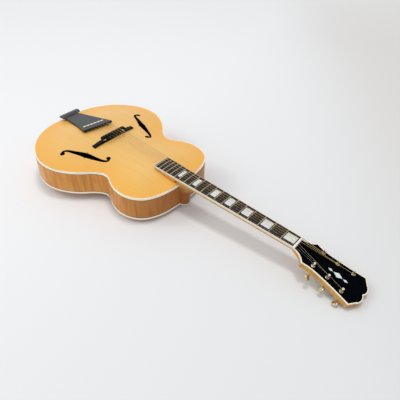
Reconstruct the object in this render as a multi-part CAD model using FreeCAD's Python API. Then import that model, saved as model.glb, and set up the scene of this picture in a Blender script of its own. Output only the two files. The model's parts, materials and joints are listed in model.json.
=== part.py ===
import FreeCAD, Part
import math
import os

V = FreeCAD.Vector
X_AXIS = V(1, 0, 0)
Y_AXIS = V(0, 1, 0)
Z_AXIS = V(0, 0, 1)
ORIGIN = V(0, 0, 0)

# Sizes are in millimetres and angles in degrees. The working frame has its
# origin on the centre line at the front of the nut, Y toward the head, and
# Z = 0 in the plane of the top's edge. At the end all is laid on its back.

# Scale and fits
SCALE_LENGTH = 648.0
FRET_COUNT = 20
BODY_FRET = 14
SEMITONES = 12
GLUE = 0.05
RUN_FIT = 0.05
AIR = 0.4

# Body
BODY_LENGTH = 510.0
LOWER_BOUT = 432.0
RIM_DEPTH = 76.0
RIM_WALL = 2.4
TOP_ARCH = 18.0
BACK_ARCH = 17.0
ARCH_REACH = 122.0
PLATE_EDGE = 5.0
PLATE_CROWN = 6.0
BINDING_HEIGHT = 6.0
LINING_WIDTH = 6.0
LINING_EASE = 0.6
KERF_COUNT = 96
LINING_HEIGHT = 20.0
BLOCK_WIDTH = 76.0
NECK_BLOCK_LENGTH = 48.0
END_BLOCK_LENGTH = 26.0
BAR_WIDTH = 7.0
BAR_HEIGHT = 13.0
BAR_LENGTH = 330.0
BAR_SPREAD = 92.0
BAR_SPLAY = 4.0
INSET_SAMPLES = 20
HALVINGS = 60
TABLE_SAMPLES = 720
EDGE_SAMPLES = 40
GRID_ACROSS = 11
GRID_ALONG = 13
arch_fall_share = 1.2
body_outline_shares = (
    (0.195, 0.003),
    (0.394, 0.0155),
    (0.583, 0.050),
    (0.702, 0.119),
    (0.731, 0.164),
    (0.725, 0.212),
    (0.657, 0.298),
    (0.616, 0.335),
    (0.601, 0.361),
    (0.618, 0.388),
    (0.672, 0.418),
    (0.857, 0.505),
    (0.991, 0.629),
    (1.000, 0.694),
    (0.969, 0.756),
    (0.826, 0.867),
    (0.597, 0.953),
    (0.306, 0.994),
)

# Sound holes: spine across, along and width as shares of the length
F_LENGTH = 146.0
F_ACROSS = 114.5
F_AHEAD = 8.0
F_EYE_LOW = 7.2
F_EYE_HIGH = 6.4
F_NICK = 5.0
F_NICK_BASE = 4.0
f_spine_shares = (
    (0.268, -0.393, 0.044),
    (0.225, -0.432, 0.048),
    (0.168, -0.393, 0.056),
    (0.111, -0.271, 0.075),
    (0.054, -0.136, 0.100),
    (0.000, 0.000, 0.128),
    (-0.046, 0.143, 0.104),
    (-0.089, 0.271, 0.075),
    (-0.139, 0.382, 0.056),
    (-0.196, 0.432, 0.048),
    (-0.243, 0.393, 0.044),
)

# Neck and fingerboard
NECK_ANGLE = 2.4
BOARD_RISE = 21.6
NUT_WIDTH = 43.0
BOARD_END_WIDTH = 57.5
BOARD_THICK = 6.5
BOARD_RADIUS = 305.0
BOARD_TAIL = 5.6
BOARD_BINDING = 1.8
NECK_SIDES = 10
neck_depth_share = 0.65
SHAFT_TOE = 12.0
EXTENSION_INSET = 1.0
HEEL_CAP = 3.0
TENON_HALF = 12.0
TENON_LENGTH = 14.0
TENON_TOP = 9.0
TENON_END = 62.0
TRUSS_RADIUS = 2.5
TRUSS_SINK = 7.0
TRUSS_FROM = 10.0
TRUSS_TO = 345.0
heel_height_shares = (0.04, 0.33, 0.66, 0.89, 1.02, 1.165)
heel_width_shares = (0.58, 0.61, 0.68, 0.80, 0.91, 0.985)
heel_reach_shares = (0.34, 0.38, 0.51, 0.80, 1.14, 1.26)
HEEL_REACH = 50.0
HEEL_SIDES = 8

# Frets, inlays and nut
FRET_WIDTH = 2.4
FRET_HEIGHT = 1.1
FRET_END = 0.5
fret_crown_shares = (0.6, 0.78)
INLAY_FRETS = (1, 3, 5, 7, 9, 12, 15)
INLAY_MARGIN = 3.5
INLAY_DEPTH = 1.3
inlay_width_share = 0.56
NUT_LENGTH = 5.0
NUT_CREST = 1.2
NUT_FALL = 14.0
NUT_LIFT = 1.7

# Head
HEAD_ANGLE = 11.6
HEAD_STEP = 4.5
HEAD_LENGTH = 184.0
HEAD_THICK = 16.0
VENEER = 2.6
HEAD_BINDING = 2.2
HEAD_ROOT = 6.0
HEAD_TIP_HALF = 50.3
throat_width_share = 1.05
flare_shares = ((0.428, 0.000), (0.535, 0.100), (0.815, 0.177))
side_low_shares = ((0.815, 0.177), (0.752, 0.255), (0.730, 0.350))
side_high_shares = ((0.730, 0.350), (0.812, 0.598), (1.000, 0.916))
crest_shares = ((1.000, 0.916), (0.830, 0.946), (0.646, 0.981))
lobe_shares = ((0.646, 0.981), (0.340, 1.024), (0.085, 1.014))
HEAD_INLAY_DEPTH = 1.0
HEAD_INLAY_LENGTH = 46.0
HEAD_INLAY_WIDTH = 17.0
head_inlay_centre_share = 0.62
lozenge_shares = ((0.00, 0.44, 0.56), (-0.45, 0.20, 0.30), (0.45, 0.20, 0.30))

# Tuners
POST_RADIUS = 3.0
POST_HEIGHT = 12.5
BUSH_RADIUS = 4.8
BUSH_FLANGE = 1.5
BUSH_DEPTH = 7.0
GEAR_RADIUS = 4.1
GEAR_THICK = 3.2
GEAR_TEETH = 14
GEAR_TOOTH = 0.7
gear_seat_share = 0.6
WORM_RADIUS = 2.2
WORM_OFFSET = 6.5
WORM_DROP = 5.5
SHAFT_RADIUS = 1.6
shaft_flat_share = 0.65
WORM_SIDES = 12
CASE_HALF = 8.5
CASE_REAR = 7.0
CASE_SHELL = 4.6
CASE_DEPTH = 10.5
CASE_ROUND = 2.0
EAR_LENGTH = 7.0
EAR_THICK = 2.0
BUTTON_GAP = 15.0
BUTTON_LENGTH = 12.5
BUTTON_WIDTH = 16.5
BUTTON_THICK = 6.2
BUTTON_SIDES = 16
button_waist_share = 0.5
button_bevel_share = 0.78
COLLAR_RADIUS = 3.2
COLLAR_LENGTH = 2.4
post_along_shares = (0.311, 0.534, 0.761)
post_across_shares = (0.527, 0.537, 0.662)
BUTTON_TURNS = (142.0, 55.0, 40.0, 8.0, 52.0, 70.0)

# Tailpiece
TAIL_REAR = 2.0
TAIL_PLATE_LENGTH = 151.5
TAIL_PLATE_THICK = 7.0
TAIL_FRONT_HALF = 48.5
TAIL_REAR_HALF = 22.0
TAIL_REAR_LIFT = 10.6
TAIL_TILT = 7.4
TAIL_SLANT = 10.0
TAIL_ROUND = 1.2
TAIL_CAP_WIDTH = 68.0
TAIL_CAP_LENGTH = 19.0
TAIL_CAP_HEIGHT = 6.5
tail_cap_shares = ((0, 0), (1, 0), (1, 0.25), (0.64, 1), (0.12, 1), (0, 0.66))
tail_waist_shares = (0.42, 0.38)
SLOT_FROM_FRONT = 23.0
SLOT_WIDTH = 5.6
SLOT_DEPTH = 5.2
SLOT_END = 5.0
BALL_RADIUS = 2.0
BALL_LENGTH = 5.0
BALL_SINK = 2.5
STRAP_WIDTH = 30.0
STRAP_THICK = 1.6
STRAP_LEG = 44.0
STRAP_DROP = 58.0
PIN_LEVEL = 38.0
PIN_RADIUS = 4.5
PIN_DEPTH = 20.0
PIN_NECK = 3.6
PIN_HEAD = 6.5
PIN_HEAD_LENGTH = 4.0
PIN_NECK_LENGTH = 7.0
PIN_COLLAR = 6.0
PIN_COLLAR_LENGTH = 1.5

# Bridge
BRIDGE_HALF = 78.0
BRIDGE_WIDTH = 13.0
BRIDGE_PLATEAU = 50.0
BRIDGE_TOP = 24.2
BRIDGE_END = 4.0
STUD_SPREAD = 74.0
STUD_RADIUS = 2.0
STUD_SINK = 5.0
STUD_LENGTH = 13.7
WHEEL_RADIUS = 7.0
WHEEL_THICK = 3.0
WHEEL_GAP = 1.8
WHEEL_KNURLS = 18
WHEEL_KNURL = 0.5
SADDLE_HALF = 46.0
SADDLE_WIDTH = 9.0
SADDLE_LEVEL = 38.2
SADDLE_FALL = 24.0
SADDLE_END = 3.0

# Strings from the lowest to the highest: diameters, and spreads at the ends
STRING_SIZES = (1.32, 1.07, 0.81, 0.61, 0.43, 0.33)
WOUND_COUNT = 4
NUT_SPREAD = 36.0
SADDLE_SPREAD = 52.0
BALL_SPREAD = 58.0
STRING_AIR = 0.15
STRING_ROOM = 0.3
STRING_POST_LEVEL = 5.0

# Levels and stations worked out from the sizes
JOINT_Y = -SCALE_LENGTH * (1 - 2 ** (-BODY_FRET / SEMITONES))
TAIL_Y = JOINT_Y - BODY_LENGTH
BRIDGE_Y = -SCALE_LENGTH
BACK_Z = -RIM_DEPTH
ROOM = RIM_DEPTH + TOP_ARCH + BACK_ARCH
HALF_BOUT = LOWER_BOUT / 2
NUT_Z = BOARD_RISE + JOINT_Y * math.tan(math.radians(NECK_ANGLE))

NECK_PLACE = FreeCAD.Placement(V(0, 0, NUT_Z), FreeCAD.Rotation(X_AXIS, -NECK_ANGLE))
HEAD_SHIFT = FreeCAD.Placement(V(0, NUT_LENGTH, -HEAD_STEP), FreeCAD.Rotation(X_AXIS, -HEAD_ANGLE))
HEAD_PLACE = NECK_PLACE.multiply(HEAD_SHIFT)
TAIL_BASE = V(0, TAIL_Y + TAIL_REAR, TAIL_REAR_LIFT)
TAIL_PLACE = FreeCAD.Placement(TAIL_BASE, FreeCAD.Rotation(X_AXIS, TAIL_TILT))


# Helpers
def box(x0, x1, y0, y1, z0, z1):
    return Part.makeBox(x1 - x0, y1 - y0, z1 - z0, V(x0, y0, z0))


def rod(start, end, radius):
    way = end.sub(start)
    return Part.makeCylinder(radius, way.Length, start, way)


def prism(wire, low, high):
    face = Part.Face(wire)
    face.translate(V(0, 0, low))
    return face.extrude(V(0, 0, high - low))


def polygon_prism(points, push):
    face = Part.Face(Part.makePolygon(points + [points[0]]))
    return face.extrude(push)


def placed(shape, place):
    moved = shape.copy()
    moved.Placement = place.multiply(moved.Placement)
    return moved


def spline(points, closed=False):
    curve = Part.BSplineCurve()
    curve.interpolate(points, closed)
    return curve


def fret_y(number):
    return -SCALE_LENGTH * (1 - 2 ** (-number / SEMITONES))


def mirrored(points):
    return [V(-point.x, point.y, point.z) for point in reversed(points)]


def mirror(shape):
    return shape.mirror(ORIGIN, X_AXIS)


# Body outline and its insets
outline_half = []
for across, along in body_outline_shares:
    outline_half.append(V(HALF_BOUT * across, JOINT_Y - BODY_LENGTH * along, 0))
outline_points = [V(0, JOINT_Y, 0)] + outline_half + [V(0, TAIL_Y, 0)] + mirrored(outline_half)
outline_curve = spline(outline_points, True)


def along_outline(count):
    first = outline_curve.FirstParameter
    span = outline_curve.LastParameter - first
    return [first + span * index / count for index in range(count)]


def tangent_arc(start, way, stop):
    chord = stop.sub(start)
    run = V(chord).normalize()
    bulge = way.sub(V(run).multiply(way.dot(run)))
    lift = math.tan(way.getAngle(run) / 2) * chord.Length / 2
    middle = start.add(stop).multiply(1 / 2).add(bulge.normalize().multiply(lift))
    return Part.Arc(start, middle, stop).toShape()


# Two arcs that leave one point and reach the next along given directions
def biarc(start, way, stop, end_way):
    chord = stop.sub(start)
    both = way.add(end_way)
    slack = 2 * (1 - way.dot(end_way))
    along = chord.dot(both)
    reach = (math.sqrt(along * along + slack * chord.dot(chord)) - along) / slack
    first = start.add(V(way).multiply(reach))
    second = stop.sub(V(end_way).multiply(reach))
    middle = first.add(second).multiply(1 / 2)
    middle_way = second.sub(first).normalize()
    return [tangent_arc(start, way, middle), tangent_arc(middle, middle_way, stop)]


def inset_wire(inset):
    points = [V(0, JOINT_Y - inset, 0)]
    ways = [V(X_AXIS)]
    for parameter in along_outline(INSET_SAMPLES)[1 : INSET_SAMPLES // 2]:
        way = outline_curve.tangent(parameter)[0]
        points.append(outline_curve.value(parameter).add(V(way.y, -way.x, 0).multiply(inset)))
        ways.append(V(way))
    points.append(V(0, TAIL_Y + inset, 0))
    ways.append(V(X_AXIS).negative())
    treble = []
    for index in range(INSET_SAMPLES // 2):
        follow = index + 1
        treble.extend(biarc(points[index], ways[index], points[follow], ways[follow]))
    bass = [mirror(edge) for edge in reversed(treble)]
    return Part.Wire(treble + bass)


edge_samples = []
for parameter in along_outline(TABLE_SAMPLES):
    edge_way = outline_curve.tangent(parameter)[0]
    edge_samples.append((outline_curve.value(parameter), V(edge_way.y, -edge_way.x, 0)))


def depth_inside(x, y):
    spot = V(x, y, 0)
    nearest, inward = min(edge_samples, key=lambda sample: (sample[0].x - x) ** 2 + (sample[0].y - y) ** 2)
    way = spot.sub(nearest)
    return math.copysign(way.Length, way.dot(inward))


# The arch rises from the plate's edge over the arch's reach and crowns at the bridge
def arch_share(x, y):
    near = min((depth_inside(x, y) - RIM_WALL) / ARCH_REACH, 1)
    shoulder = near * (1 + near - near * near)
    radius = math.hypot(x, y - BRIDGE_Y) / BODY_LENGTH
    return shoulder * (1 - arch_fall_share * radius * radius)


def arched_face(level, rise):
    rows = []
    half = HALF_BOUT + LINING_WIDTH
    south = TAIL_Y - LINING_WIDTH
    north = JOINT_Y + LINING_WIDTH
    for column in range(GRID_ACROSS):
        x = half * (2 * column / (GRID_ACROSS - 1) - 1)
        row = []
        for line in range(GRID_ALONG):
            y = south + (north - south) * line / (GRID_ALONG - 1)
            row.append(V(x, y, level + rise * arch_share(x, y)))
        rows.append(row)
    surface = Part.BSplineSurface()
    surface.interpolate(rows)
    return surface.toShape()


inner_top_rise = TOP_ARCH + PLATE_EDGE - PLATE_CROWN
inner_back_rise = BACK_ARCH + PLATE_EDGE - PLATE_CROWN
under_top = arched_face(0, TOP_ARCH).extrude(V(0, 0, -ROOM))
under_top_inside = arched_face(-PLATE_EDGE, inner_top_rise).extrude(V(0, 0, -ROOM))
over_back = arched_face(BACK_Z, -BACK_ARCH).extrude(V(0, 0, ROOM))
over_back_inside = arched_face(BACK_Z + PLATE_EDGE, -inner_back_rise).extrude(V(0, 0, ROOM))

outer_wire = inset_wire(0)
wall_wire = inset_wire(RIM_WALL)
plate_wire = inset_wire(RIM_WALL + GLUE)
reach_wire = inset_wire(-GLUE)
plate_prism = prism(plate_wire, BACK_Z - ROOM, ROOM)


# Sound holes
def f_hole_cutters():
    centre = V(F_ACROSS, BRIDGE_Y + F_AHEAD, -ROOM)
    spine = [centre.add(V(F_LENGTH * share[0], F_LENGTH * share[1], 0)) for share in f_spine_shares]
    widths = [F_LENGTH * share[2] / 2 for share in f_spine_shares]
    left = []
    right = []
    for index, point in enumerate(spine):
        before = spine[max(index - 1, 0)]
        after = spine[min(index + 1, len(spine) - 1)]
        way = after.sub(before).normalize()
        side = V(-way.y, way.x, 0).multiply(widths[index])
        left.append(point.add(side))
        right.append(point.sub(side))
    edges = [
        spline(left).toShape(),
        Part.makeLine(left[-1], right[-1]),
        spline(right).toShape(),
        Part.makeLine(right[0], left[0]),
    ]
    push = V(0, 0, ROOM + ROOM)
    stem = Part.Face(Part.Wire(Part.__sortEdges__(edges))).extrude(push)
    low_eye = Part.makeCylinder(F_EYE_LOW, push.z, spine[0], Z_AXIS)
    high_eye = Part.makeCylinder(F_EYE_HIGH, push.z, spine[-1], Z_AXIS)
    half = widths[len(widths) // 2]
    nicks = []
    for turn in (-1, 1):
        tip = centre.add(V(turn * (half + F_NICK), turn * F_NICK_BASE, 0))
        low = centre.add(V(0, turn * F_NICK_BASE - F_NICK_BASE, 0))
        high = centre.add(V(0, turn * F_NICK_BASE + F_NICK_BASE, 0))
        nicks.append(polygon_prism([tip, low, high], push))
    return [stem, low_eye, high_eye] + nicks


top_plate = under_top.common(plate_prism).cut(under_top_inside)
for cutter in f_hole_cutters():
    top_plate = top_plate.cut(cutter)
    top_plate = top_plate.cut(mirror(cutter))
back_plate = over_back.common(plate_prism).cut(over_back_inside)

# Rims, bindings, linings and blocks
outer_face = Part.Face(outer_wire)
wall_face = Part.Face(wall_wire)
ring_face = outer_face.cut(wall_face)


def ring(low, high):
    lifted = ring_face.copy()
    lifted.translate(V(0, 0, low))
    return lifted.extrude(V(0, 0, high - low)).Solids[0]


top_binding = ring(-BINDING_HEIGHT, 0)
back_binding = ring(BACK_Z, BACK_Z + BINDING_HEIGHT)
rim_ring = ring(BACK_Z + BINDING_HEIGHT + GLUE, -BINDING_HEIGHT - GLUE)
tenon_box = box(-TENON_HALF, TENON_HALF, JOINT_Y - TENON_LENGTH, JOINT_Y + GLUE, -TENON_END, -TENON_TOP)
tenon_room = box(
    -TENON_HALF - GLUE,
    TENON_HALF + GLUE,
    JOINT_Y - TENON_LENGTH - GLUE,
    JOINT_Y + TENON_LENGTH,
    -TENON_END - GLUE,
    -TENON_TOP + GLUE,
)
pin_start = V(0, TAIL_Y + PIN_DEPTH, -PIN_LEVEL)
pin_room = rod(pin_start.add(V(0, GLUE, 0)), V(0, TAIL_Y - PIN_DEPTH, -PIN_LEVEL), PIN_RADIUS + GLUE)
right_half = box(GLUE / 2, LOWER_BOUT, TAIL_Y - ROOM, JOINT_Y + ROOM, -ROOM, ROOM)
rim_treble = rim_ring.common(right_half).cut(tenon_room).cut(pin_room)
rim_bass = mirror(rim_treble)

half_block = BLOCK_WIDTH / 2
hollow = under_top_inside.translated(V(0, 0, -GLUE)).common(over_back_inside.translated(V(0, 0, GLUE)))
neck_block_box = box(-half_block, half_block, JOINT_Y - NECK_BLOCK_LENGTH, JOINT_Y + GLUE, -ROOM, ROOM)
end_block_box = box(-half_block, half_block, TAIL_Y - GLUE, TAIL_Y + END_BLOCK_LENGTH, -ROOM, ROOM)
neck_block = neck_block_box.common(plate_prism).common(hollow).cut(tenon_room)
end_block = end_block_box.common(plate_prism).common(hollow).cut(pin_room)


# Kerfs let the linings bend, so they follow the rims in short straight lengths
def lining_polygon(inset):
    points = inset_wire(inset).discretize(KERF_COUNT)
    return Part.Face(Part.makePolygon(points[:-1] + [points[0]]))


lining_inset = RIM_WALL + LINING_EASE
lining_face = lining_polygon(lining_inset).cut(lining_polygon(lining_inset + LINING_WIDTH))
block_room = [
    box(-half_block - GLUE, half_block + GLUE, JOINT_Y - ROOM, JOINT_Y + ROOM, -ROOM, ROOM),
    box(-half_block - GLUE, half_block + GLUE, TAIL_Y - ROOM, TAIL_Y + ROOM, -ROOM, ROOM),
]
lining_room = hollow.common(plate_prism)
lining_solids = []
for low, high in ((-LINING_HEIGHT, ROOM), (BACK_Z - ROOM, BACK_Z + LINING_HEIGHT)):
    lifted = lining_face.copy()
    lifted.translate(V(0, 0, low))
    strip = lifted.extrude(V(0, 0, high - low)).cut(Part.makeCompound(block_room))
    lining_solids.extend(strip.common(lining_room).Solids)
linings = Part.makeCompound(lining_solids)

bar_over = under_top_inside.translated(V(0, 0, -GLUE))
bar_under = under_top_inside.translated(V(0, 0, -GLUE - BAR_HEIGHT))
bar_box = box(-BAR_WIDTH / 2, BAR_WIDTH / 2, -BAR_LENGTH / 2, BAR_LENGTH / 2, -ROOM, ROOM)
bar_place = FreeCAD.Placement(V(BAR_SPREAD / 2, BRIDGE_Y, 0), FreeCAD.Rotation(Z_AXIS, -BAR_SPLAY))
treble_bar = placed(bar_box, bar_place).common(bar_over).cut(bar_under)
tone_bars = Part.makeCompound([treble_bar.Solids[0], mirror(treble_bar.Solids[0])])

# Fingerboard, in the frame of the neck
board_end = fret_y(FRET_COUNT) - BOARD_TAIL
board_cylinder = rod(
    V(0, board_end - ROOM, -BOARD_RADIUS),
    V(0, ROOM, -BOARD_RADIUS),
    BOARD_RADIUS,
)
inlay_cylinder = rod(
    V(0, board_end - ROOM, -BOARD_RADIUS),
    V(0, ROOM, -BOARD_RADIUS),
    BOARD_RADIUS - INLAY_DEPTH,
)


def board_half(y):
    return (NUT_WIDTH + (BOARD_END_WIDTH - NUT_WIDTH) * y / board_end) / 2


def board_block(inset, y0, y1, low, high):
    points = [
        V(-board_half(y0) + inset, y0, low),
        V(board_half(y0) - inset, y0, low),
        V(board_half(y1) - inset, y1, low),
        V(-board_half(y1) + inset, y1, low),
    ]
    return polygon_prism(points, V(0, 0, high - low))


full_board = board_block(0, board_end, 0, -BOARD_THICK, BOARD_THICK).common(board_cylinder)
inner_room = board_block(BOARD_BINDING, board_end + BOARD_BINDING, ROOM, -ROOM, ROOM)
core_room = board_block(BOARD_BINDING + GLUE, board_end + BOARD_BINDING + GLUE, 0, -ROOM, ROOM)
fingerboard_binding = full_board.cut(inner_room)
fingerboard = full_board.common(core_room)

fret_solids = []
for number in range(1, FRET_COUNT + 1):
    station = fret_y(number)
    crown_half = FRET_WIDTH / 2
    shoulder_half = crown_half * fret_crown_shares[0]
    outline = [
        V(0, station - crown_half, GLUE),
        V(0, station - shoulder_half, FRET_HEIGHT * fret_crown_shares[1]),
        V(0, station, FRET_HEIGHT),
        V(0, station + shoulder_half, FRET_HEIGHT * fret_crown_shares[1]),
        V(0, station + crown_half, GLUE),
    ]
    profile = Part.Face(Part.makePolygon(outline + [outline[0]]))
    swing = math.degrees(math.asin((board_half(station) - BOARD_BINDING - FRET_END) / BOARD_RADIUS))
    pivot = V(0, station, -BOARD_RADIUS)
    profile.rotate(pivot, Y_AXIS, -swing)
    fret_solids.append(profile.revolve(pivot, Y_AXIS, 2 * swing))
frets = Part.makeCompound(fret_solids)

inlay_solids = []
for number in INLAY_FRETS:
    y0 = fret_y(number) + INLAY_MARGIN
    y1 = fret_y(number - 1) - INLAY_MARGIN
    half = board_half((y0 + y1) / 2) * inlay_width_share
    tile = box(-half, half, y0, y1, -BOARD_THICK, BOARD_THICK)
    pocket = box(-half - GLUE, half + GLUE, y0 - GLUE, y1 + GLUE, -BOARD_THICK, BOARD_THICK)
    inlay_solids.append(tile.common(board_cylinder).cut(inlay_cylinder))
    pocket_floor = inlay_cylinder.translated(V(0, 0, -GLUE))
    fingerboard = fingerboard.cut(pocket.cut(pocket_floor))
position_inlays = Part.makeCompound(inlay_solids)


# Neck shaft, extension and heel
def half_round(centre, half, reach, across, onward, steps):
    points = []
    for step in range(steps + 1):
        angle = math.pi * step / steps
        side = V(across).multiply(half * math.cos(angle))
        forward = V(onward).multiply(reach * math.sin(angle))
        points.append(centre.add(side).add(forward))
    return points


def shaft_section(y):
    half = board_half(min(y, 0))
    centre = V(0, y, -BOARD_THICK - GLUE)
    points = half_round(centre, half, half * neck_depth_share, X_AXIS, V(0, 0, -1), NECK_SIDES)
    return Part.makePolygon(points + [points[0]])


shaft_end = JOINT_Y - TENON_LENGTH
shaft = Part.makeLoft([shaft_section(0), shaft_section(shaft_end)], True, True)
shaft_toe = Part.Face(shaft_section(0)).extrude(V(0, SHAFT_TOE, 0))
tongue = board_block(EXTENSION_INSET, board_end + EXTENSION_INSET, shaft_end, -ROOM, -BOARD_THICK - GLUE)
body_room = under_top.translated(V(0, 0, GLUE)).common(prism(reach_wire, BACK_Z - ROOM, ROOM))


def heel_section(level, half, reach):
    centre = V(0, JOINT_Y, level)
    points = half_round(centre, half, reach, X_AXIS, Y_AXIS, HEEL_SIDES)
    points.append(points[-1].sub(V(0, HEEL_CAP, 0)))
    points.append(points[0].sub(V(0, HEEL_CAP, 0)))
    return Part.makePolygon(points + [points[0]])


joint_half = board_half(JOINT_Y)
heel_sections = []
for height, width, reach in zip(heel_height_shares, heel_width_shares, heel_reach_shares):
    heel_sections.append(heel_section(BACK_Z + RIM_DEPTH * height, joint_half * width, HEEL_REACH * reach))
heel = Part.makeLoft(heel_sections, True, True)
cap_level = BACK_Z + RIM_DEPTH * heel_height_shares[0]
cap_face = Part.Face(heel_section(0, joint_half * heel_width_shares[0], HEEL_REACH * heel_reach_shares[0]))
cap_face.translate(V(0, 0, cap_level - GLUE - HEEL_CAP))
heel_cap = cap_face.extrude(V(0, 0, HEEL_CAP)).cut(body_room)


# Head, in its own frame: face at Z = 0, Y along the head from the nut
def head_point(share):
    return V(HEAD_TIP_HALF * share[0], HEAD_LENGTH * share[1], 0)


def head_arc(shares):
    points = [head_point(share) for share in shares]
    return Part.Arc(points[0], points[1], points[2]).toShape()


root_corner = head_point(flare_shares[0])
root_start = V(root_corner.x, -HEAD_ROOT, 0)
head_notch = V(0, HEAD_LENGTH, 0)
head_right = [
    Part.makeLine(root_start, root_corner),
    head_arc(flare_shares),
    head_arc(side_low_shares),
    head_arc(side_high_shares),
    head_arc(crest_shares),
    head_arc(lobe_shares),
    Part.makeLine(head_point(lobe_shares[-1]), head_notch),
]
head_left = [mirror(edge) for edge in head_right]
head_base = Part.makeLine(V(-root_start.x, -HEAD_ROOT, 0), root_start)
head_wire = Part.Wire(Part.__sortEdges__(head_right + head_left + [head_base]))
head_face = Part.Face(head_wire)
veneer_face = head_face.makeOffset2D(-HEAD_BINDING)
veneer_core_face = head_face.makeOffset2D(-HEAD_BINDING - GLUE)


def head_slab(face, low, high):
    lifted = face.copy()
    lifted.translate(V(0, 0, low))
    return lifted.extrude(V(0, 0, high - low))


# Along the flare the round back of the shaft fades into the flat back of the head
flare_end = head_point(flare_shares[-1])
throat_ends = (
    (-HEAD_ROOT, root_corner.x - GLUE, root_corner.x * neck_depth_share),
    (flare_end.y, flare_end.x * throat_width_share, HEAD_THICK),
)
throat_sections = []
for along, half, reach in throat_ends:
    centre = V(0, along, -VENEER - GLUE)
    points = half_round(centre, half, reach, X_AXIS, V(0, 0, -1), NECK_SIDES)
    throat_sections.append(Part.makePolygon(points + [points[0]]))
throat = Part.makeLoft(throat_sections, True, True)
head_core = head_slab(head_face, -HEAD_THICK, -VENEER - GLUE)
head_root = box(-ROOM, ROOM, -ROOM, flare_end.y, -ROOM, ROOM)
head_core = head_core.common(throat).fuse(head_core.cut(head_root))
nut_side = box(-ROOM, ROOM, -ROOM, GLUE, -ROOM, ROOM)
head_veneer = head_slab(veneer_core_face, -VENEER, 0).cut(nut_side)
head_binding = head_slab(head_face.cut(veneer_face), -VENEER, 0).cut(nut_side)

inlay_centre = HEAD_LENGTH * head_inlay_centre_share
head_inlay_solids = []
for offset, width, length in lozenge_shares:
    middle = inlay_centre + HEAD_INLAY_LENGTH * offset
    half_w = HEAD_INLAY_WIDTH * width
    half_l = HEAD_INLAY_LENGTH * length / 2
    for room, kept in ((0, True), (GLUE, False)):
        points = [
            V(half_w + room, middle, -HEAD_INLAY_DEPTH - room),
            V(0, middle + half_l + room, -HEAD_INLAY_DEPTH - room),
            V(-half_w - room, middle, -HEAD_INLAY_DEPTH - room),
            V(0, middle - half_l - room, -HEAD_INLAY_DEPTH - room),
        ]
        lozenge = polygon_prism(points, V(0, 0, HEAD_INLAY_DEPTH + room))
        if kept:
            head_inlay_solids.append(lozenge)
        else:
            head_veneer = head_veneer.cut(lozenge)
head_inlay = Part.makeCompound(head_inlay_solids)


# Tuner button about its own middle: an oblong plate with bevelled rims
def button_blade():
    levels = (-1, -button_waist_share, button_waist_share, 1)
    scales = (button_bevel_share, 1, 1, button_bevel_share)
    rings = []
    for level, scale in zip(levels, scales):
        ring = []
        for step in range(BUTTON_SIDES):
            angle = 2 * math.pi * (step + 1 / 2) / BUTTON_SIDES
            x = BUTTON_LENGTH / 2 * scale * math.cos(angle)
            y = BUTTON_WIDTH / 2 * scale * math.sin(angle)
            ring.append(V(x, y, level * BUTTON_THICK / 2))
        rings.append(ring)
    faces = [Part.Face(Part.makePolygon(ring + [ring[0]])) for ring in (rings[0], rings[-1])]
    for low, high in zip(rings, rings[1:]):
        for step in range(BUTTON_SIDES):
            follow = (step + 1) % BUTTON_SIDES
            corners = [low[step], low[follow], high[follow], high[step]]
            faces.append(Part.Face(Part.makePolygon(corners + [corners[0]])))
    return Part.Solid(Part.Shell(faces))


# Tuners, in the frame of the head; back of the head at Z = -HEAD_THICK
back_level = -HEAD_THICK
worm_level = back_level - WORM_DROP
tuners = []
for side in (-1, 1):
    for along, across in zip(post_along_shares, post_across_shares):
        tuners.append((side, HEAD_TIP_HALF * across * side, HEAD_LENGTH * along))
# Numbers follow the strings: six nearest the nut on the bass side, one on the treble side
TUNER_NUMBERS = (6, 5, 4, 1, 2, 3)

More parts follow.
